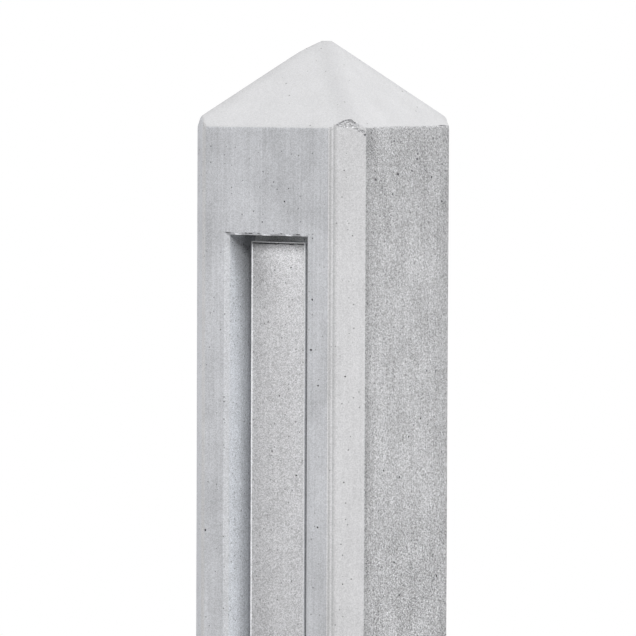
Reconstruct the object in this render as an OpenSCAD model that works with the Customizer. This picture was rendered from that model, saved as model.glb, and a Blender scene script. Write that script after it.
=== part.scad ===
// Cast concrete fence post: a square shaft with cut edges, a low pyramid head,
// and one groove down the front face with a raised rib standing in it.
// The post stands on its foot, centred on the Z axis, with the groove facing -Y.
// All sizes are in millimetres.

/* [Shaft] */
// Width of each side of the square post
side_w = 100; // [95:1:150]
// Length from the flat foot to the blunt tip of the head
post_l = 1800; // [400:10:3000]
// How far each long edge is cut back along both of its faces, at 45 degrees
edge_cut = 12.5; // [8:0.5:16]
// How far the soft band beside a front edge cut reaches across the front face
band_on_face = 1.2; // [0.5:0.1:3]
// How far the same band reaches down the edge cut
band_on_cut = 2.8; // [1:0.1:4]

/* [Head] */
// Height that the four slopes would reach if they met in a sharp point
head_h = 45.8; // [15:0.2:80]
// Height that is missing from the sharp point
tip_cut = 3.8; // [2:0.1:6]
// Height that the four slanting arrises are taken down by
hip_ease = 1.3; // [0.2:0.1:1.8]

/* [Groove] */
// Width between the two side walls of the groove
groove_w = 46; // [30:0.5:48]
// Depth of the groove beside the rib, from the front face
groove_d = 24; // [15:0.5:40]
// Distance from the eave of the head down to the top wall of the groove
groove_drop = 53.3; // [20:0.1:200]
// Size of the 45 degree bevel along the two long lips of the groove
side_lip = 2.2; // [0.5:0.1:4]
// Size of the 45 degree bevel along the top lip of the groove
top_lip = 1.2; // [0.5:0.1:4]

/* [Rib] */
// Width of the channel that is left open on each side of the rib
channel_w = 7.3; // [4.5:0.1:12]
// Height of the gap that is left open above the rib
rib_gap = 3.7; // [1:0.1:20]
// Distance that the rib's front lies behind the front face
rib_set = 10.7; // [5:0.1:14]

/* [Hidden] */
// Overlap that lets a cutting shape pass clear through a surface
past = 1;
half_w = side_w / 2;
// Level of the eave, where the four slopes leave the upright faces
eave_z = post_l - head_h + tip_cut;
groove_top_z = eave_z - groove_drop;
rib_top_z = groove_top_z - rib_gap;
rib_w = groove_w - 2 * channel_w;
front_y = -half_w;
// Half of the plan diagonal, where the slanting arrises of the head start
half_diagonal = half_w * sqrt(2);

// Plan of the shaft, with plain cut edges at the back and banded ones at the front
function half_plan() = [
    [half_w - edge_cut - band_on_face, front_y],
    [half_w - edge_cut + band_on_cut, front_y + band_on_cut],
    [half_w, front_y + edge_cut],
    [half_w, half_w - edge_cut],
    [half_w - edge_cut, half_w]
];

function mirrored(points) = [
    for (i = [len(points) - 1 : -1 : 0]) [-points[i].x, points[i].y]
];

module shaft_plan() {
    polygon(concat(half_plan(), mirrored(half_plan())));
}

// Long house shape with its ridge along Y, whose two slopes fall from ridge_z
// to the eave's level at `reach` from the middle and run on past the post's sides
module house(reach, ridge_z) {
    fall = (ridge_z - eave_z) / reach;
    wide = reach + side_w;
    rotate([90, 0, 0])
        linear_extrude(height = 4 * side_w, center = true)
            polygon([
                [-wide, -post_l],
                [wide, -post_l],
                [wide, ridge_z - fall * wide],
                [0, ridge_z],
                [-wide, ridge_z - fall * wide]
            ]);
}

// Four slopes of the head, with the slanting arrises between them taken down
module head_slopes() {
    eased_reach = half_diagonal * (1 - hip_ease / head_h);
    intersection_for (turn = [0, 90])
        rotate([0, 0, turn])
            intersection() {
                house(half_w, eave_z + head_h);
                rotate([0, 0, 45]) house(eased_reach, eave_z + head_h - hip_ease);
            }
}

// Solid post before the groove is cut, ending flat at the foot and at the blunt tip
module blank() {
    intersection() {
        linear_extrude(height = post_l) shaft_plan();
        head_slopes();
    }
}

// Opening of the groove with its walls square to the face
module groove_box() {
    translate([-groove_w / 2, front_y - past, -past])
        cube([groove_w, groove_d + past, groove_top_z + past]);
}

// Bevels of both long lips and of the top lip, which meet in mitred corners
module groove_lips() {
    intersection() {
        translate([0, 0, -past])
            linear_extrude(height = groove_top_z + top_lip + 2 * past)
                polygon([
                    [-groove_w / 2 - side_lip - past, front_y - past],
                    [groove_w / 2 + side_lip + past, front_y - past],
                    [groove_w / 2, front_y + side_lip],
                    [-groove_w / 2, front_y + side_lip]
                ]);
        rotate([90, 0, 90])
            linear_extrude(height = 2 * side_w, center = true)
                polygon([
                    [front_y - past, -past],
                    [front_y - past, groove_top_z + top_lip + past],
                    [front_y + top_lip, groove_top_z],
                    [front_y + side_lip, groove_top_z],
                    [front_y + side_lip, -past]
                ]);
    }
}

// Rib that stays standing in the groove, on the foot's own plane
module rib() {
    translate([-rib_w / 2, front_y + rib_set, 0])
        cube([rib_w, groove_d - rib_set + past, rib_top_z]);
}

module post() {
    color("gainsboro")
        union() {
            difference() {
                blank();
                groove_box();
                groove_lips();
            }
            rib();
        }
}

post();
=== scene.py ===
import math
import random

import bmesh
import bpy
import numpy as np
from mathutils import Matrix, Vector, noise


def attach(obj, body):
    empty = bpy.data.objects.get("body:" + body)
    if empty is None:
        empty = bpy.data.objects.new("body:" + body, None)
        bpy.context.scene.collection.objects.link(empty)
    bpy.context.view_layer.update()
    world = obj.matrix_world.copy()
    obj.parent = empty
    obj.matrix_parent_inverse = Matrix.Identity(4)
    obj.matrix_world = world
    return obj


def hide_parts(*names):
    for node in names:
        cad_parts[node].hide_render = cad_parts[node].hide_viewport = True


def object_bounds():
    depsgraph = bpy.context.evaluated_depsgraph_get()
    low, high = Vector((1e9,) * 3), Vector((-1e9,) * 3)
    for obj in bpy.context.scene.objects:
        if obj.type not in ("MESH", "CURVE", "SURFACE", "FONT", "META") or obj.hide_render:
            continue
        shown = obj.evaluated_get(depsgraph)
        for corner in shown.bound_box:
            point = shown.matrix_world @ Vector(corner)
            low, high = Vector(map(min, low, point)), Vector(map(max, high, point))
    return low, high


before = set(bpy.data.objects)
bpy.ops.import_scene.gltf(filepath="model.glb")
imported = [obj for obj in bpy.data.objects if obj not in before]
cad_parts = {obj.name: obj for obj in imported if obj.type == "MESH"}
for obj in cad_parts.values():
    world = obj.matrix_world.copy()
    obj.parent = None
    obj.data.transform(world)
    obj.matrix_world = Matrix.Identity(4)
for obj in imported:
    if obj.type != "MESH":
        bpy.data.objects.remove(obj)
cad_low, cad_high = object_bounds()
scene = bpy.context.scene
scene.view_settings.view_transform = "Standard"


# The cast blank
# The post is one casting in pale grey concrete, poured in a steel mould. Before the groove is counted
# it is a square shaft with four cut edges, which ends in four low slopes and a blunt, worn point.

mm = 0.001
foot_z = cad_low.z
tip_z = cad_high.z
half = cad_high.x
edge_cut = 12.5 * mm
band_on_face = 1.2 * mm
band_on_cut = 2.8 * mm
# Height of the head, and the height that its slopes would reach in a sharp point
head_h = 42.0 * mm
slope_h = 45.8 * mm
eave_z = tip_z - head_h
# Length below the eave that is worked in fine detail
detailed_length = 300 * mm
# How deep the slow waves in the faces are, on average
wave_depth = 0.08 * mm

# How softly neighbouring faces run into each other
arris_ease = 0.1 * mm
hip_ease = 1.36 * mm
front_eave_ease = 0.5 * mm
side_eave_ease = 0.2 * mm
tip_ease = 0.3 * mm

# The point is worn flatter on one side, as a plane that leans towards the left of the photo's view
view_turn = math.radians(33.8)
worn_lean = math.radians(24.7)
worn_top = 42.4 * mm

# Fine ridges that the mould's seam left along the band beside each front edge cut, and thin lines of painted
# shade and painted highlight for how the ridges catch the light, as pairs of distance from the front face
# and height or shade
band_ridges = [(0.0, 0.1), (0.45, -0.14), (1.3, 0.1), (1.9, 0.0), (2.3, -0.2), (3.2, 0.0), (4.9, 0.0)]
band_painted_shades = [(0.0, 1.06), (0.4, 1.04), (0.7, 0.7), (1.2, 0.78), (1.8, 1.0), (2.3, 1.04), (2.6, 0.74),
               (3.2, 0.84), (4.0, 0.95), (4.9, 1.0)]

# Marks that each face carries, so that the concrete can look different where it was cast differently
MOULD, CORE_CUT, LIP, RIB, FIN, CREASE, HOLE, BREAK = range(8)


def mesh_object(name, vertices, faces, mark):
    """A new object made of points and faces, with the same mark on every face."""
    mesh = bpy.data.meshes.new(name)
    mesh.from_pydata([tuple(v) for v in vertices], [], faces)
    marks = mesh.attributes.new("mark", "INT", "FACE")
    marks.data.foreach_set("value", [mark] * len(faces))
    made = bpy.data.objects.new(name, mesh)
    scene.collection.objects.link(made)
    return made


def tube_faces(rings, around):
    """Faces of a closed tube of rings, with a flat face over each end."""
    faces = [tuple(reversed(range(around)))]
    for r in range(rings - 1):
        for k in range(around):
            after = (k + 1) % around
            low, high = r * around, (r + 1) * around
            faces.append((low + k, low + after, high + after, high + k))
    faces.append(tuple(range((rings - 1) * around, rings * around)))
    return faces


def soft_max(values, ease):
    """The highest of the values, with a rounded change from one to the next."""
    highest = np.max(values, axis=0)
    return highest + ease * np.log(np.sum(np.exp((values - highest) / ease), axis=0))


def outside_blank(x, y, z, eave_ease):
    """How far a point lies outside the eased faces of the blank, and below zero inside it."""
    cut_reach = (2 * half - edge_cut) / math.sqrt(2)
    band = Vector((band_on_cut, -(band_on_face + band_on_cut))).normalized()
    band_reach = band.dot(Vector((half - edge_cut - band_on_face, -half)))
    upright = [abs(x) - half, abs(y) - half, (abs(x) + abs(y)) / math.sqrt(2) - cut_reach,
               abs(x) * band.x + y * band.y - band_reach]
    length = math.hypot(slope_h, half)
    slopes = [(slope_h * (side - half) + half * (z - eave_z)) / length for side in (x, -x, y, -y)]
    lean_left = -(x * math.cos(view_turn) + y * math.sin(view_turn))
    worn = math.cos(worn_lean) * (z - eave_z - worn_top) + math.sin(worn_lean) * lean_left
    head = soft_max(np.array([soft_max(np.array(slopes), hip_ease), worn]), tip_ease)
    return soft_max(np.array([soft_max(np.array(upright), arris_ease), head]), eave_ease)


def points_between(a, b, step):
    """Points from a towards b, closer together near both ends."""
    length = (b - a).length
    close = (0, 0.2, 0.5, 1.2)
    ends = [place * mm for place in close if place * mm < 0.4 * length]
    middle = np.arange(ends[-1] + step, length - ends[-1] - step / 2, step)
    places = ends + list(middle) + [length - place for place in reversed(ends[1:])]
    return [a.lerp(b, place / length) for place in places]


def blank_plan():
    """Points round the plan of the blank, from its near edge cut on by way of the back."""
    flat = half - edge_cut
    corners = [(flat + band_on_cut, -half + band_on_cut), (half, -flat), (half, flat), (flat, half),
               (-flat, half), (-half, flat), (-half, -flat), (-flat - band_on_cut, -half + band_on_cut),
               (-flat + band_on_face, -half), (flat - band_on_face, -half)]
    corners = [Vector(corner) for corner in corners]
    cut, face, band = 1.5 * mm, 3 * mm, 0.4 * mm
    steps = [cut, face, cut, face, cut, face, cut, band, face, band]
    points = []
    for i, step in enumerate(steps):
        points += points_between(corners[i], corners[(i + 1) % len(corners)], step)
    return points


def ring_heights():
    """Levels of the rings of points, closest together at the eave and at the tip."""
    eave_start, eave_end = eave_z - 4 * mm, eave_z + 7 * mm
    low = np.arange(foot_z, eave_z - detailed_length, 40 * mm)
    high = np.arange(eave_z - detailed_length, eave_start, 6 * mm)
    eave = np.arange(eave_start, eave_end, 0.6 * mm)
    head = np.arange(eave_end, tip_z - 2.2 * mm, 1.2 * mm)
    tip = np.linspace(tip_z - 2.0 * mm, tip_z - 0.02 * mm, 7)
    return np.concatenate([low, high, eave, head, tip])


def read_off(pairs, place):
    """Value at a place, between the nearest two of the given pairs."""
    places, values = zip(*pairs)
    return float(np.interp(place, places, values))


def along_band(p):
    """How far along the band a point lies, in mm from the front face."""
    return math.hypot(abs(p.x) - (half - edge_cut - band_on_face), p.y + half) / mm


def on_band(p):
    """Whether a point lies on the narrow band beside a front edge cut."""
    return p.y < -half + band_on_cut + 0.1 * mm and abs(p.x) > half - edge_cut - band_on_face - 0.05 * mm


def worn_point(p):
    """Moves a point of the blank: slow waves, seam ridges and a broken surface over each edge cut."""
    if abs(p.x) < 3 * mm and abs(p.y) < 3 * mm:
        return p
    inward = Vector((-p.x, -p.y, 0)).normalized()
    below = min(1, max(0, (eave_z - p.z) / (150 * mm)))
    wave = wave_depth * (1 + noise.noise(Vector((p.x * 30, p.y * 30, p.z * 9)))) * (0.1 + 0.9 * below)
    ridge = read_off(band_ridges, along_band(p)) * mm if on_band(p) and p.z < eave_z - mm else 0
    on_cut = (abs(p.x) + abs(p.y) - (2 * half - edge_cut)) / mm
    above = (p.z - eave_z) / mm
    # The surface is broken from a little under the eave upwards
    broken, start = 0, -2.5
    if on_cut > -0.6 and above > start:
        depth = 0.1 + 0.27 * noise.noise(p * 420) + 0.08 * noise.noise(p * 1100)
        broken = 0.6 * mm * max(0, depth) * min(1, (above - start) / 2)
    return p + inward * (wave + broken - ridge)


def cast_blank():
    """The blank as rings of points, each point found by halving the way from the axis outwards."""
    halvings = 32
    plan = blank_plan()
    turn = np.array([math.atan2(p.y, p.x) for p in plan])
    east, north = np.cos(turn), np.sin(turn)
    facing_front = np.clip(-north * 1.6 - 0.6, 0, 1)
    eave_ease = side_eave_ease + (front_eave_ease - side_eave_ease) * facing_front
    vertices = []
    heights = ring_heights()
    for z in heights:
        near, far = np.zeros(len(turn)), np.full(len(turn), 2 * half)
        for _ in range(halvings):
            mid = (near + far) / 2
            out = outside_blank(mid * east, mid * north, z, eave_ease) > 0
            near, far = np.where(out, near, mid), np.where(out, mid, far)
        vertices += [worn_point(Vector((r * e, r * n, z))) for r, e, n in zip(near, east, north)]
    return mesh_object("cast_post", vertices, tube_faces(len(heights), len(turn)), MOULD)


def combined(target, tool, how):
    """Joins the tool to the target or cuts it away, and throws the tool out."""
    modifier = target.modifiers.new("work", "BOOLEAN")
    modifier.operation = how
    modifier.solver = "MANIFOLD"
    modifier.object = tool
    graph = bpy.context.evaluated_depsgraph_get()
    made = bpy.data.meshes.new_from_object(target.evaluated_get(graph))
    target.modifiers.clear()
    target.data = made
    bpy.data.objects.remove(tool)


post = cast_blank()


# The groove and its rib
# A core in the mould leaves the groove, with bevelled lips and a narrow channel on each side of the rib.
# The rib is one body with the post. Grout that crept between core and mould left a thin pale fin on it.

groove_half = 23 * mm
groove_depth = 24 * mm
groove_drop = 53.3 * mm
groove_top = eave_z - groove_drop
side_lip = 2.2 * mm
top_lip = 1.2 * mm
channel_w = 7.3 * mm
rib_set = 10.7 * mm
rib_gap = 3.5 * mm
rib_half = groove_half - channel_w
rib_front = -half + rib_set
rib_top = groove_top - rib_gap
# Spans of the top lip that have chipped steeply to a fresh pale surface, in mm across from the middle
fresh_chips = [(-19.2, -15.2), (-3.4, 2.0), (10.8, 15.0), (20.4, 22.4)]
# The fin along the rib's edges, and the crease that shows under its top
fin_proud = 0.35 * mm
fin_width = 0.85 * mm
crease_depth = 0.5 * mm
# Overlap that lets a cutting shape pass clear through a surface
past = 1 * mm


def slab(name, reach, front, rear, bottom, top, mark):
    """An upright slab in small faces, closer together towards its top, so that its shade can change."""
    columns = 12
    steps = [0, 0.7, 1.5, 2.5, 4, 6, 9, 13, 20, 28, 40, 60, 100, 160, 240]
    heights = [bottom] + [top - step * mm for step in reversed(steps)]
    corners = [Vector(corner) for corner in [(-reach, front), (reach, front), (reach, rear), (-reach, rear)]]
    plan = [corners[i].lerp(corners[(i + 1) % 4], k / columns) for i in range(4) for k in range(columns)]
    vertices = [(*p, z) for z in heights for p in plan]
    return mesh_object(name, vertices, tube_faces(len(heights), len(plan)), mark)


def arch_path(reach, top, fine, coarse):
    """Points up the left side, over the top and down the right side, as (x, z, outward x, outward z)."""
    fine_start = top - 220 * mm
    rise = [*np.arange(foot_z - past, fine_start, coarse), *np.arange(fine_start, top - fine / 2, fine)]
    span = list(np.arange(-reach + fine / 2, reach - fine / 4, fine / 2))
    left = [(-reach, z, -1, 0) for z in rise] + [(-reach, top, -1, 1)]
    over = [(x, top, 0, 1) for x in span]
    right = [(reach, top, 1, 1)] + [(reach, z, 1, 0) for z in reversed(rise)]
    return left + over + right


def sweep_along_arch(name, path, section, mark):
    """A solid that follows the arch; section(point) gives its corners as (outward x, outward z, y)."""
    vertices = []
    for x, z, out_x, out_z in path:
        corners = section(x, z, out_x, out_z)
        vertices += [Vector((x + corner_x, y, z + corner_z)) for corner_x, corner_z, y in corners]
    made = mesh_object(name, vertices, tube_faces(len(path), len(corners)), mark)
    shape = bmesh.new()
    shape.from_mesh(made.data)
    bmesh.ops.recalc_face_normals(shape, faces=shape.faces)
    shape.to_mesh(made.data)
    shape.free()
    return made


def ragged(x, z, size):
    """A small uneven change of about this size, for one place on the groove's front."""
    wide = noise.noise(Vector((x * 330, 7, z * 330)))
    narrow = noise.noise(Vector((x * 900, 3, z * 900)))
    return size * (wide + 0.5 * narrow)


def is_chipped(x):
    """Whether the top lip has chipped at this distance across from the middle."""
    return any(low < x / mm < high for low, high in fresh_chips)


def lip_section(x, z, out_x, out_z):
    """Corners of the lips' bevel, which is steep where the top lip has chipped."""
    side = side_lip + ragged(x, z, 0.12 * mm)
    over, deep = top_lip + ragged(x, z, 0.5 * mm), top_lip
    if out_z and is_chipped(x):
        over, deep = 0.7 * mm + ragged(x, z, 0.9 * mm), 0.25 * mm
    return [(out_x * (side + past), out_z * (over + past), -half - past),
            (out_x * side, out_z * over, -half),
            (out_x * (side_lip - deep), 0, -half + deep),
            (0, 0, -half + side_lip),
            (-out_x * past, -out_z * past, -half + side_lip),
            (-out_x * past, -out_z * past, -half - past)]


def fin_section(x, z, out_x, out_z):
    """Corners of the fin, which is narrower over the top of the rib."""
    proud = fin_proud + ragged(x, z, 0.22 * mm)
    width = (0.45 if out_z else 1) * fin_width + ragged(z, x, 0.25 * mm)
    edge = (0.2 if out_x > 0 else 0.03) * mm
    return [(edge * out_x, edge * out_z, rib_front + 0.5 * mm),
            (edge * out_x, edge * out_z, rib_front - proud),
            (-0.3 * out_x * width, -0.3 * out_z * width, rib_front - proud),
            (-out_x * width, -out_z * width, rib_front + 0.5 * mm)]


def crease_under_fin():
    """A thin solid along the rib's top that cuts the crease under its fin."""
    places = np.arange(-rib_half - 0.1 * mm, rib_half + 0.1 * mm, 1.2 * mm)
    deep = rib_front + crease_depth
    vertices = []
    for x in places:
        high = rib_top - 0.6 * fin_width + ragged(x, 4, 0.2 * mm)
        low = high - 0.5 * mm + ragged(x, 9, 0.6 * mm)
        vertices += [(x, rib_front - mm, high), (x, deep, high), (x, deep, low), (x, rib_front - mm, low)]
    return mesh_object("crease", vertices, tube_faces(len(places), 4), CREASE)


core = slab("core", groove_half, -half - past, -half + groove_depth, foot_z - past, groove_top, CORE_CUT)
combined(post, core, "DIFFERENCE")
lip_path = arch_path(groove_half, groove_top, 1.5 * mm, 30 * mm)
combined(post, sweep_along_arch("lips", lip_path, lip_section, LIP), "DIFFERENCE")
rib = slab("rib", rib_half, rib_front, -half + groove_depth + past, foot_z, rib_top, RIB)
combined(post, rib, "UNION")
fin_path = [place for place in arch_path(rib_half, rib_top, 1.2 * mm, 20 * mm) if place[1] > foot_z]
combined(post, sweep_along_arch("fin", fin_path, fin_section, FIN), "UNION")
combined(post, crease_under_fin(), "DIFFERENCE")


# Breaks
# Small pieces have come off the weak spots: the ends of the edge cuts under the head, the far left corner
# and the top lip of the groove. The broken concrete is rough and a little darker than the cast skin.

# How far the middle of an edge cut lies from the post's middle, along x and along y
near_cut = half - edge_cut / 2


def cut_with(target, shape, name, mark):
    """Cuts every closed body in the shape away from the target. The bodies mustn't overlap."""
    tool = mesh_object(name, [], [], mark)
    shape.to_mesh(tool.data)
    shape.free()
    marks = tool.data.attributes.get("mark") or tool.data.attributes.new("mark", "INT", "FACE")
    marks.data.foreach_set("value", [mark] * len(tool.data.polygons))
    combined(target, tool, "DIFFERENCE")


def cut_break(centre, extents, seed, turn=0, mark=BREAK):
    """Cuts one rough lump away; extents are half sizes in mm along x, y and z before the turn."""
    size = Matrix.Diagonal((*(extent * mm for extent in extents), 1))
    place = Matrix.Translation(centre) @ Matrix.Rotation(math.radians(turn), 4, "Z") @ size
    shape = bmesh.new()
    made = bmesh.ops.create_icosphere(shape, subdivisions=3, radius=1)
    for v in made["verts"]:
        big = 0.3 * noise.noise(v.co * 1.7 + Vector((seed, 0, 0)))
        small = 0.1 * noise.noise(v.co * 5 + Vector((0, seed, 0)))
        v.co = place @ (v.co * (1 + big + small))
    cut_with(post, shape, "break", mark)


def on_near_cut(across, above, inside=0.0):
    """A place on the near edge cut, across from its middle and above the eave, all in mm."""
    x = near_cut + (across / math.sqrt(2) - inside / math.sqrt(2)) * mm
    y = -near_cut + (across / math.sqrt(2) + inside / math.sqrt(2)) * mm
    return Vector((x, y, eave_z + above * mm))


# The near gable, where the skin of the edge cut is gone up to the slanting arris, and the crack below it,
# each as place across and above, half extents along, into and up the edge cut, and seed
for across, above, extents, seed in [
        (-0.6, 1.5, (6.4, 0.5, 1.9), 3.1), (0.4, 2.9, (3.2, 0.6, 1.2), 6.4),
        (-3.6, 0.4, (2.2, 0.3, 0.25), 2.2), (1.0, 0.2, (2.6, 0.35, 0.3), 9.9),
        (4.2, -0.9, (2.0, 0.6, 0.45), 4.5), (6.6, -2.0, (1.9, 0.7, 0.8), 5.7)]:
    cut_break(on_near_cut(across, above), extents, seed, 45)
# Two deeper pits in the same break, darkened with painted shade
cut_break(on_near_cut(3.2, 2.1), (0.5, 0.7, 0.35), 1.3, 45, CREASE)
cut_break(on_near_cut(8.3, -3.6), (0.6, 0.7, 0.6), 7.1, 45, CREASE)
# The thin line that outlines the gable, as place across and above
for across, above in [(-5.4, 1.2), (-4.5, 1.7), (-3.6, 2.2), (-2.7, 2.7), (-1.8, 3.1), (-0.8, 3.4),
                      (0.2, 3.5), (1.1, 3.2), (2.0, 2.7), (2.8, 2.2), (3.6, 1.6)]:
    cut_break(on_near_cut(across, above, 0.3), (0.9, 0.6, 0.25), across, 45)
# The far left corner and the right corner, as place, half extents, seed and turn
for centre, extents, seed, turn in [
        ((-near_cut - 2.6 * mm, -near_cut + 3.2 * mm, eave_z + 2.2 * mm), (0.9, 0.9, 0.8), 8.2, -45),
        ((-near_cut - 3.4 * mm, -near_cut + 2.4 * mm, eave_z + 0.6 * mm), (0.8, 0.8, 0.7), 1.2, -45),
        ((-near_cut - 2.6 * mm, -near_cut + 2.8 * mm, eave_z - 12.0 * mm), (0.7, 0.7, 1.0), 3.3, -45),
        ((-near_cut - 5.4 * mm, -near_cut + 5.4 * mm, eave_z - 13.5 * mm), (0.7, 0.7, 0.8), 4.3, -45),
        ((half, half - edge_cut - 4.2 * mm, eave_z - 4.6 * mm), (0.5, 1.1, 0.7), 11.4, 0),
        ((half, half - edge_cut - 1.6 * mm, eave_z - 6.2 * mm), (0.5, 0.7, 0.9), 12.9, 0),
        ((half - 0.4 * mm, half - edge_cut - 6 * mm, eave_z + 0.2 * mm), (0.7, 3.5, 0.45), 14.9, 0)]:
    cut_break(Vector(centre), extents, seed, turn)
# Notches along the top lip of the groove, darkened with painted shade, as distance to the right of the
# middle and half width
for across, reach in ((-22.9, 1.5), (-12.2, 0.9), (-9.6, 1.2), (-4.9, 0.8), (8.6, 0.7), (18.6, 1.3)):
    centre = Vector((across * mm, -half + 0.3 * mm, groove_top + 0.9 * mm))
    cut_break(centre, (reach, 0.6, 0.3), across, 0, CREASE)


# Air holes
# Air bubbles lay against the mould while the concrete set, and left round holes about a millimetre wide.
# The largest are where the photo shows them, and the rest are scattered over every face.

# Largest holes as distance along the face, distance below the eave and width, all in mm
front_holes = [(-4.8, 12.8, 1.0), (-24, 10, 0.8), (-18.6, 10.4, 0.8), (-12.1, 11.3, 0.7), (-24.8, 18.4, 0.8),
               (-14.1, 26.5, 0.8), (3.3, 29, 0.9), (13, 30.1, 1.0), (10.6, 36.5, 1.4), (-7.6, 41.5, 1.0),
               (-2.4, 46.7, 1.1), (19.9, 33.7, 0.8), (27.2, 54.1, 1.1), (27.2, 84, 1.4), (26.6, 108.4, 1.6),
               (30.8, 125.8, 1.3), (30.8, 195, 1.4), (-35.7, 199.5, 1.5)]
side_holes = [(-12.6, 6.9, 1.4), (4.2, 2.5, 1.3), (3.6, 21.7, 1.8), (-8.8, 23.2, 1.7), (-28.6, 25.5, 1.6),
              (21.6, 25, 1.4), (-13.7, 32.9, 1.5), (31, 37.2, 1.7), (8.2, 16.1, 1.8), (8.9, 13.5, 1.7),
              (-6.1, 172.1, 1.6), (12.7, 144.2, 1.6), (18, 120.8, 1.4), (1.9, 152.7, 1.5),
              (-20.5, 168.1, 1.6), (-10.6, 213.9, 1.6), (-6.1, 230.4, 1.7), (27.9, 223.4, 1.7)]
rib_holes = [(-2.1, 70.6, 1.1), (7.5, 69.1, 1.1), (-3.3, 159.7, 1.5), (11.1, 171.1, 1.3), (0.9, 132.3, 1.1)]

# Share of a hole's width by which its middle lies under the surface, and the same on the slopes as a depth
sink = 0.25
slope_sink = 0.35 * mm
# Concrete that is left between two neighbouring holes
hole_gap = 0.3 * mm
# Chance holes on the detailed length of the shaft, on the rest of it, and on the slopes
upper_count, lower_count, slope_count = 520, 520, 44
eave_margin = 3 * mm
foot_margin = 5 * mm

hole_rng = random.Random(41)
taken = []


def add_hole(shape, centre, width):
    """Adds one slightly squashed ball whose widest part lies just under the surface."""
    if any((centre - other).length < (width + other_width) / 2 + hole_gap for other, other_width in taken):
        return
    taken.append((centre, width))
    size = [width / 2 * hole_rng.uniform(0.8, 1.2) for _ in range(3)]
    turn = Matrix.Rotation(hole_rng.uniform(0, math.pi), 4, "Z")
    tip = Matrix.Rotation(hole_rng.uniform(0, math.pi), 4, "X")
    place = Matrix.Translation(centre) @ turn @ tip @ Matrix.Diagonal((*size, 1))
    bmesh.ops.create_icosphere(shape, subdivisions=1, radius=1, matrix=place)


def scattered_hole(shape, z):
    """Adds one hole at a chance place round the post at this height."""
    width = hole_rng.uniform(0.45, 0.95) * mm
    flat = half - edge_cut - 2 * mm
    along = hole_rng.uniform(-flat, flat)
    depth = half - wave_depth - sink * width
    side = hole_rng.choice("front right right back back left left front_cut back_cut".split())
    if side == "front":
        if abs(along) < groove_half + side_lip + mm and z < groove_top + 3 * mm:
            return
        spot = (along, -depth)
    elif side == "right":
        spot = (depth, along)
    elif side == "back":
        spot = (along, depth)
    elif side == "left":
        spot = (-depth, along)
    else:
        in_from_corner = edge_cut * hole_rng.uniform(0.35, 0.75)
        deeper = (wave_depth + sink * width) / math.sqrt(2)
        x = (half - in_from_corner - deeper) * hole_rng.choice((-1, 1))
        y = half - edge_cut + in_from_corner - deeper
        spot = (x, -y if side == "front_cut" else y)
    add_hole(shape, Vector((*spot, z)), width)


holes = bmesh.new()
for across, below, width in front_holes:
    depth = -half + wave_depth + sink * width * mm
    add_hole(holes, Vector((across * mm, depth, eave_z - below * mm)), width * mm)
for across, below, width in side_holes:
    depth = half - wave_depth - sink * width * mm
    add_hole(holes, Vector((depth, across * mm, eave_z - below * mm)), width * mm)
for across, below, width in rib_holes:
    depth = rib_front + sink * width * mm
    add_hole(holes, Vector((across * mm, depth, eave_z - below * mm)), width * mm)
for _ in range(upper_count):
    scattered_hole(holes, eave_z - eave_margin - detailed_length * hole_rng.random())
for _ in range(lower_count):
    lowest, highest = foot_z + foot_margin, eave_z - (eave_margin + detailed_length)
    scattered_hole(holes, hole_rng.uniform(lowest, highest))
for _ in range(slope_count):
    # The slopes carry fewer and smaller holes, at a share of the way from the eave to the point
    share = hole_rng.uniform(0.05, 0.85)
    reach = half * (1 - share)
    along = hole_rng.uniform(-0.8, 0.8) * reach
    spot = hole_rng.choice([(along, -reach), (reach, along), (along, reach), (-reach, along)])
    centre = Vector((*spot, eave_z + slope_h * share - slope_sink))
    add_hole(holes, centre, hole_rng.uniform(0.45, 0.7) * mm)
cut_with(post, holes, "holes", HOLE)


# The concrete
# Pale grey, slightly cool concrete with fine sand in it. The mould's rolled steel leaves upright streaks,
# the plain sides are sandier than the grooved front, and the slopes and edge cuts are the palest, the edge
# cuts partly as painted light. Much of the shading set below is painted shade and light laid into the
# colour.

front_tone = (0.541, 0.548, 0.571)
side_tone = (0.570, 0.571, 0.584)
# The edge cuts, and most of all the far left one, are set paler than the faces beside them as painted light
cut_painted_light_tone = (0.617, 0.615, 0.625)
left_cut_painted_light_tone = (0.624, 0.634, 0.663)
slope_tone = (0.600, 0.600, 0.610)
# The groove's walls are made paler than the outer faces as painted light
wall_painted_light_tone = (0.720, 0.742, 0.780)
# The wall behind the gap above the rib is made pale as painted light
gap_painted_light_tone = (0.840, 0.850, 0.865)
rib_tone = (0.604, 0.602, 0.616)
# The rib's sides in the narrow channels are darkened as painted shade
rib_side_painted_shade_tone = (0.480, 0.482, 0.492)
lip_tone = (0.590, 0.598, 0.620)
fin_tone = (0.880, 0.885, 0.895)
# The crease under the fin, the pits in the near gable and the notches in the top lip are darkened as painted
# shade, with some dust
crease_painted_shade_tone = (0.240, 0.244, 0.252)
# Air holes are darkened with dust and painted shade
hole_dust_and_shade_tone = (0.110, 0.110, 0.115)
break_tone = (0.520, 0.520, 0.532)

# The plain sides are darker along both edges, as pairs of distance from the front in mm and shade
side_shades = [(0, 0.78), (1, 0.76), (1.9, 0.76), (2.8, 0.8), (3.7, 0.86), (5, 0.9), (9, 0.98), (14, 1.0),
               (60, 1.0), (75, 0.87)]
# The slanting arrises of the head are a little darker
hip_shades = [(0, 0.93), (3, 0.95), (7, 1.0)]
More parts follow.
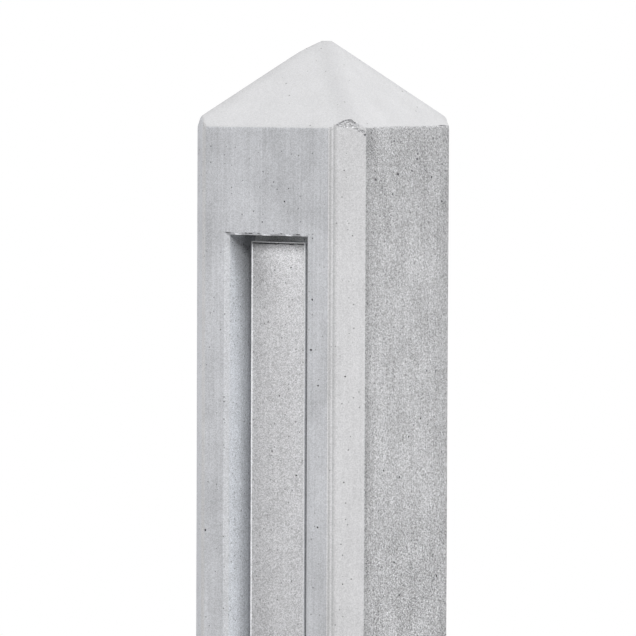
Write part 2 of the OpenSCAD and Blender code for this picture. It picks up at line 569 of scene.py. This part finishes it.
# Painted shade just under the rib's top, where the groove's top shadows it, then painted light a little
# lower;
# the rib is darker further down, and painted shade darkens it towards the left, where the left lip shadows
# it
rib_painted_shades = [(0, 0.78), (1.5, 0.88), (3, 1.02), (4.5, 1.14), (6, 1.2), (10, 1.15), (20, 1.08), (60, 1.01),
              (160, 0.95), (240, 0.87)]
rib_across_painted_shades = [(0, 0.94), (5, 0.95), (8, 1.0), (16, 1.02), (31, 1.02)]
# Distance from the rib's top left corner, where the painted shade is deepest, with heights counted at less
# than half
rib_corner_painted_shades = [(0, 0.6), (5, 0.78), (12, 0.93), (20, 1.0)]
# Painted shade also along the rib's top right corner, by distance from it
rib_right_corner_painted_shades = [(0, 0.82), (4, 0.92), (9, 1.0)]
# Painted shade darkens the walls of the groove deep inside, where the rib shadows them, by distance behind
# the face
wall_depth_painted_shades = [(0, 1.0), (11, 1.0), (13, 0.93), (15, 0.78), (17, 0.72), (19, 0.8), (21, 1.0)]
# Painted shadow of the groove's top also spreads down the walls, by how many times further a place lies
# below the top than inside
wall_top_painted_shades = [(0, 0.75), (0.6, 0.6), (1.0, 0.62), (1.6, 0.74), (2.4, 0.88), (3.6, 1.0)]
# Painted shade and light on the wall behind the gap above the rib: darkest at its left, palest at its right,
# by distance across from the middle
gap_painted_shades = [(-23, 0.55), (-15, 0.65), (-6, 0.85), (4, 1.08), (12, 1.16), (23, 1.14)]
# Freshly chipped concrete is paler than the rest of the lip, and is lifted further by painted light where
# the chips catch the lamps
chip_paleness_and_light = 1.5
# The outer faces are a little darker under the head, and darken slowly further down
shaft_shades = [(0, 0.95), (40, 0.96), (65, 1.0), (150, 1.0), (200, 0.97), (240, 0.95), (400, 0.96),
                (900, 1.0)]

# Plain names of the marks
kinds = {CORE_CUT: "wall", LIP: "lip", RIB: "rib", FIN: "fin", CREASE: "crease", HOLE: "hole",
         BREAK: "break"}


def kind_of(face, mark):
    """Plain name for the part of the casting that a face belongs to."""
    n = face.normal
    if mark in (CORE_CUT, RIB) and face.center.z > rib_top - 0.1 * mm and abs(n.x) < 0.5:
        return "gap"
    if mark == RIB and abs(n.x) > 0.5:
        return "rib_side"
    if mark != MOULD:
        return kinds[mark]
    if n.z > 0.4:
        return "slope"
    if on_band(face.center) and abs(n.x) > 0.2:
        return "band"
    if abs(n.x) > 0.35 and abs(n.y) > 0.35:
        return "left_cut" if n.x < 0 and n.y < 0 else "cut"
    return "front" if n.y < -0.9 else "side"


# Tone of each kind of face, and how sandy and how streaked it is
finishes = {
    "front": (front_tone, 0.32, 1.2), "side": (side_tone, 1.0, 1.4), "cut": (cut_painted_light_tone, 0.25, 0.4),
    "left_cut": (left_cut_painted_light_tone, 0.3, 0.7), "band": (cut_painted_light_tone, 0.3, 0.4), "slope": (slope_tone, 0.14, 0.1),
    "wall": (wall_painted_light_tone, 0.55, 0.7), "gap": (gap_painted_light_tone, 0.5, 0.3), "lip": (lip_tone, 0.35, 0.7),
    "rib": (rib_tone, 0.6, 0.5), "rib_side": (rib_side_painted_shade_tone, 0.6, 0.5), "fin": (fin_tone, 0.3, 0.0),
    "crease": (crease_painted_shade_tone, 0.8, 0.0), "hole": (hole_dust_and_shade_tone, 0.0, 0.0), "break": (break_tone, 0.9, 0.0)}
# Kinds of face that don't darken with the shaft as it goes down
unshaded_kinds = ("slope", "rib", "rib_side", "wall", "gap", "break")


def shade_at(kind, p):
    """How much darker or paler than its tone the concrete is at one place, much of it painted shade and
    light.
    """
    below = (eave_z - p.z) / mm
    shade = 1.0 if kind in unshaded_kinds else read_off(shaft_shades, below)
    if kind == "side" and abs(p.x) > abs(p.y):
        shade *= read_off(side_shades, (p.y + half - edge_cut) / mm)
    if kind == "band":
        strength = 1 if p.x > 0 else 0.3
        shade *= 1 + strength * (read_off(band_painted_shades, along_band(p)) - 1)
    if kind == "slope":
        shade *= read_off(hip_shades, abs(abs(p.x) - abs(p.y)) / math.sqrt(2) / mm)
    if kind == "rib":
        down, across = (rib_top - p.z) / mm, (p.x + rib_half) / mm
        shade *= read_off(rib_painted_shades, down) * read_off(rib_across_painted_shades, across)
        shade *= read_off(rib_corner_painted_shades, math.hypot(across, 0.4 * down))
        shade *= read_off(rib_right_corner_painted_shades, math.hypot(2 * rib_half / mm - across, 0.4 * down))
    if kind == "wall":
        inside, down = (p.y + half) / mm, (groove_top - p.z) / mm
        shade *= read_off(wall_depth_painted_shades, inside) * read_off(wall_top_painted_shades, down / max(inside, 1))
    if kind == "gap":
        shade *= read_off(gap_painted_shades, p.x / mm)
    if kind == "lip" and p.z > groove_top - 0.1 * mm and is_chipped(p.x):
        shade *= chip_paleness_and_light
    return shade


def dress_faces(mesh):
    """Gives each face its tone, sand and streaks, and each corner its shade and painted light, for the
    material to read.
    """
    marks = [m.value for m in mesh.attributes["mark"].data]
    tones, sandy, streaky, shades = [], [], [], [0.0] * len(mesh.loops)
    for face, mark in zip(mesh.polygons, marks):
        kind = kind_of(face, mark)
        tone, sand, streak = finishes[kind]
        tones += [*tone, 1]
        # The plain sides are sandier from about 150 mm below the head
        lower_down = min(1, max(0, ((eave_z - face.center.z) / mm - 150) / 60))
        sandy.append(sand * (1 + 0.3 * lower_down if kind == "side" else 1))
        streaky.append(streak)
        for corner, vertex in zip(face.loop_indices, face.vertices):
            shades[corner] = shade_at(kind, mesh.vertices[vertex].co)
    mesh.attributes.new("tone", "FLOAT_COLOR", "FACE").data.foreach_set("color", tones)
    mesh.attributes.new("sand", "FLOAT", "FACE").data.foreach_set("value", sandy)
    mesh.attributes.new("streaked", "FLOAT", "FACE").data.foreach_set("value", streaky)
    mesh.attributes.new("shade", "FLOAT", "CORNER").data.foreach_set("value", shades)


dress_faces(post.data)
for polygon in post.data.polygons:
    polygon.use_smooth = True
post.data.set_sharp_from_angle(angle=math.radians(24))

concrete = bpy.data.materials.new("cast_concrete")
concrete.use_nodes = True
nodes = concrete.node_tree.nodes
links = concrete.node_tree.links
shader = nodes["Principled BSDF"]
shader.inputs["Roughness"].default_value = 0.85
shader.inputs["Specular IOR Level"].default_value = 0.3
place = nodes.new("ShaderNodeTexCoord").outputs["Object"]


def face_value(name, output):
    """What the dressed faces carry under this name."""
    node = nodes.new("ShaderNodeAttribute")
    node.attribute_name = name
    return node.outputs[output]


def noise_value(scale, detail, stretch=(1, 1, 1)):
    """Soft noise from 0 to 1, drawn out along an axis whose stretch is below 1."""
    mapping = nodes.new("ShaderNodeMapping")
    mapping.inputs["Scale"].default_value = stretch
    links.new(place, mapping.inputs["Vector"])
    node = nodes.new("ShaderNodeTexNoise")
    node.inputs["Scale"].default_value = scale
    node.inputs["Detail"].default_value = detail
    links.new(mapping.outputs[0], node.inputs["Vector"])
    return node.outputs["Fac"]


def maths(how, *values):
    """One sum on node values and plain numbers."""
    node = nodes.new("ShaderNodeMath")
    node.operation = how
    for socket, value in zip(node.inputs, values):
        if isinstance(value, (int, float)):
            socket.default_value = value
        else:
            links.new(value, socket)
    return node.outputs[0]


def ranged(value, low, high, to_low, to_high):
    """A value moved from one range to another."""
    node = nodes.new("ShaderNodeMapRange")
    links.new(value, node.inputs["Value"])
    for name, number in (("From Min", low), ("From Max", high), ("To Min", to_low), ("To Max", to_high)):
        node.inputs[name].default_value = number
    return node.outputs["Result"]


def cells(scale, output):
    """Even cells, with a chance colour for each or the distance from its middle."""
    node = nodes.new("ShaderNodeTexVoronoi")
    node.inputs["Scale"].default_value = scale
    links.new(place, node.inputs["Vector"])
    return node.outputs[output]


def red_of(colour):
    """The red of a colour, which gives each cell one chance number."""
    node = nodes.new("ShaderNodeSeparateColor")
    links.new(colour, node.inputs[0])
    return node.outputs["Red"]


# How strongly each part of the finish changes the tone
grain_strength = 0.55
cluster_strength = 0.02
thin_streak_strength = 0.055
wide_streak_strength = 0.03
cloud_strength = 0.055
drift_strength = 0.02
pinhole_share = 0.3
pinhole_painted_shade = 0.55
grain_depth = 0.03 * mm

sand_here = face_value("sand", "Fac")
streak_here = face_value("streaked", "Fac")

# Sand grains less than half a millimetre across, each with its own shade, and clusters of them
grain = ranged(red_of(cells(2500, "Color")), 0, 1, -1, 1)
cluster = ranged(noise_value(800, 1), 0.3, 0.7, -1, 1)
# Pinholes too small to be modelled, as dots of painted shade in some of the cells
dot = ranged(cells(480, "Distance"), 0.14, 0.24, 1, 0)
chosen = maths("LESS_THAN", red_of(cells(480, "Color")), maths("MULTIPLY", sand_here, pinhole_share))
pinhole = maths("MULTIPLY", dot, chosen)
# Clouds in the cement skin, and slower changes along the casting
cloud = ranged(noise_value(75, 4, (1, 1, 0.7)), 0.3, 0.7, -1, 1)
drift = ranged(noise_value(18, 2, (1, 1, 0.6)), 0.3, 0.7, -1, 1)
# Upright streaks from the rolled steel of the mould
thin_streak = ranged(noise_value(900, 1, (1, 1, 0.02)), 0.3, 0.7, -1, 1)
wide_streak = ranged(noise_value(170, 2, (1, 1, 0.05)), 0.3, 0.7, -1, 1)

grain_change = maths("MULTIPLY", grain, grain_strength)
sandy = maths("ADD", grain_change, maths("MULTIPLY", cluster, cluster_strength))
thin_change = maths("MULTIPLY", thin_streak, thin_streak_strength)
streaky = maths("ADD", thin_change, maths("MULTIPLY", wide_streak, wide_streak_strength))
cloud_change = maths("MULTIPLY", cloud, cloud_strength)
cloudy = maths("ADD", cloud_change, maths("MULTIPLY", drift, drift_strength))
# Clouds are strongest where the streaks are, and never quite absent
cloudy = maths("MULTIPLY", cloudy, maths("ADD", streak_here, 0.35))
change = maths("ADD", maths("MULTIPLY", sandy, sand_here), maths("MULTIPLY", streaky, streak_here))
change = maths("ADD", maths("ADD", change, cloudy), 1)
change = maths("MULTIPLY", change, maths("SUBTRACT", 1, maths("MULTIPLY", pinhole, pinhole_painted_shade)))
# Each corner's shade holds painted shade and light as well as the concrete's own darker and paler places
change = maths("MULTIPLY", change, face_value("shade", "Fac"))
coloured = nodes.new("ShaderNodeVectorMath")
coloured.operation = "SCALE"
links.new(face_value("tone", "Color"), coloured.inputs[0])
links.new(change, coloured.inputs["Scale"])
links.new(coloured.outputs[0], shader.inputs["Base Color"])

bump = nodes.new("ShaderNodeBump")
bump.inputs["Strength"].default_value = 1.0
bump.inputs["Distance"].default_value = grain_depth
links.new(maths("MULTIPLY", maths("ADD", grain, cluster), sand_here), bump.inputs["Height"])
links.new(bump.outputs["Normal"], shader.inputs["Normal"])

post.data.materials.clear()
post.data.materials.append(concrete)
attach(post, "root")
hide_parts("post")


# Camera, floor and light
# The photo looks at the head of the post with a long lens, almost level, from the right of the groove.
# The floor is a plain pale sheet. Broad soft lamps stand in front, to the left, above and behind.

camera_away = 3.0
camera_rise = math.radians(2.64)
camera_roll = math.radians(0.24)
aim_right = -2.32 * mm
aim_below_eave = 95.5 * mm
focal_px = 6043
picture_px = 636

camera_data = bpy.data.cameras.new("camera")
camera_data.sensor_width = 36
camera_data.lens = focal_px * camera_data.sensor_width / picture_px
camera = bpy.data.objects.new("camera", camera_data)
scene.collection.objects.link(camera)
scene.camera = camera
back = Vector((math.sin(view_turn) * math.cos(camera_rise), -math.cos(view_turn) * math.cos(camera_rise),
               math.sin(camera_rise)))
rightwards = Vector((math.cos(view_turn), math.sin(view_turn), 0))
aim = rightwards * aim_right + Vector((0, 0, eave_z - aim_below_eave))
facing = back.to_track_quat("Z", "Y") @ Matrix.Rotation(camera_roll, 3, "Z").to_quaternion()
camera.matrix_world = Matrix.Translation(aim + back * camera_away) @ facing.to_matrix().to_4x4()

floor_reach = 12
floor_sides = 48
round_places = [2 * math.pi * k / floor_sides for k in range(floor_sides)]
floor_corners = [(floor_reach * math.cos(a), floor_reach * math.sin(a), foot_z) for a in round_places]
floor = mesh_object("floor", floor_corners, [tuple(range(floor_sides))], MOULD)
floor_finish = bpy.data.materials.new("floor_sheet")
floor_finish.use_nodes = True
floor.data.materials.append(floor_finish)
sheet_nodes = floor_finish.node_tree.nodes
sheet_links = floor_finish.node_tree.links
sheet_shader = sheet_nodes["Principled BSDF"]
sheet_shader.inputs["Roughness"].default_value = 1
sheet_shader.inputs["Specular IOR Level"].default_value = 0
seen = sheet_nodes.new("ShaderNodeLightPath")
# The sheet looks near white to the camera, and throws back less than half of the light
sheet_level = sheet_nodes.new("ShaderNodeMapRange")
sheet_level.inputs["To Min"].default_value = 0.4
sheet_level.inputs["To Max"].default_value = 0.85
sheet_links.new(seen.outputs["Is Camera Ray"], sheet_level.inputs["Value"])
sheet_colour = sheet_nodes.new("ShaderNodeCombineColor")
for channel in ("Red", "Green", "Blue"):
    sheet_links.new(sheet_level.outputs["Result"], sheet_colour.inputs[channel])
sheet_links.new(sheet_colour.outputs["Color"], sheet_shader.inputs["Base Color"])


def lamp(name, strength, turn, rise, softness):
    """A lamp far away; turn is measured from the grooved front towards the right face."""
    data = bpy.data.lights.new(name, "SUN")
    data.energy = strength * math.pi
    data.angle = math.radians(softness)
    made = bpy.data.objects.new(name, data)
    scene.collection.objects.link(made)
    a, e = math.radians(turn), math.radians(rise)
    toward = Vector((math.sin(a) * math.cos(e), -math.cos(a) * math.cos(e), math.sin(e)))
    made.rotation_mode = "QUATERNION"
    made.rotation_quaternion = toward.to_track_quat("Z", "Y")


lamp("key", 0.65, 39, 27, 17)
lamp("left_fill", 0.62, -74, 6, 40)
lamp("front_fill", 0.13, 14, 3, 30)
lamp("top_light", 0.60, 92, 63, 40)
lamp("back_fill", 0.45, 180, 20, 50)

sky = bpy.data.worlds.new("sky")
scene.world = sky
sky.use_nodes = True
sky_nodes = sky.node_tree.nodes
sky_links = sky.node_tree.links
sky_light = sky_nodes["Background"]
sky_light.inputs["Color"].default_value = (1, 1, 1, 1)
sky_path = sky_nodes.new("ShaderNodeLightPath")
sky_level = sky_nodes.new("ShaderNodeMapRange")
sky_level.inputs["To Min"].default_value = 0.02
sky_level.inputs["To Max"].default_value = 1.0
sky_links.new(sky_path.outputs["Is Camera Ray"], sky_level.inputs["Value"])
sky_links.new(sky_level.outputs["Result"], sky_light.inputs["Strength"])
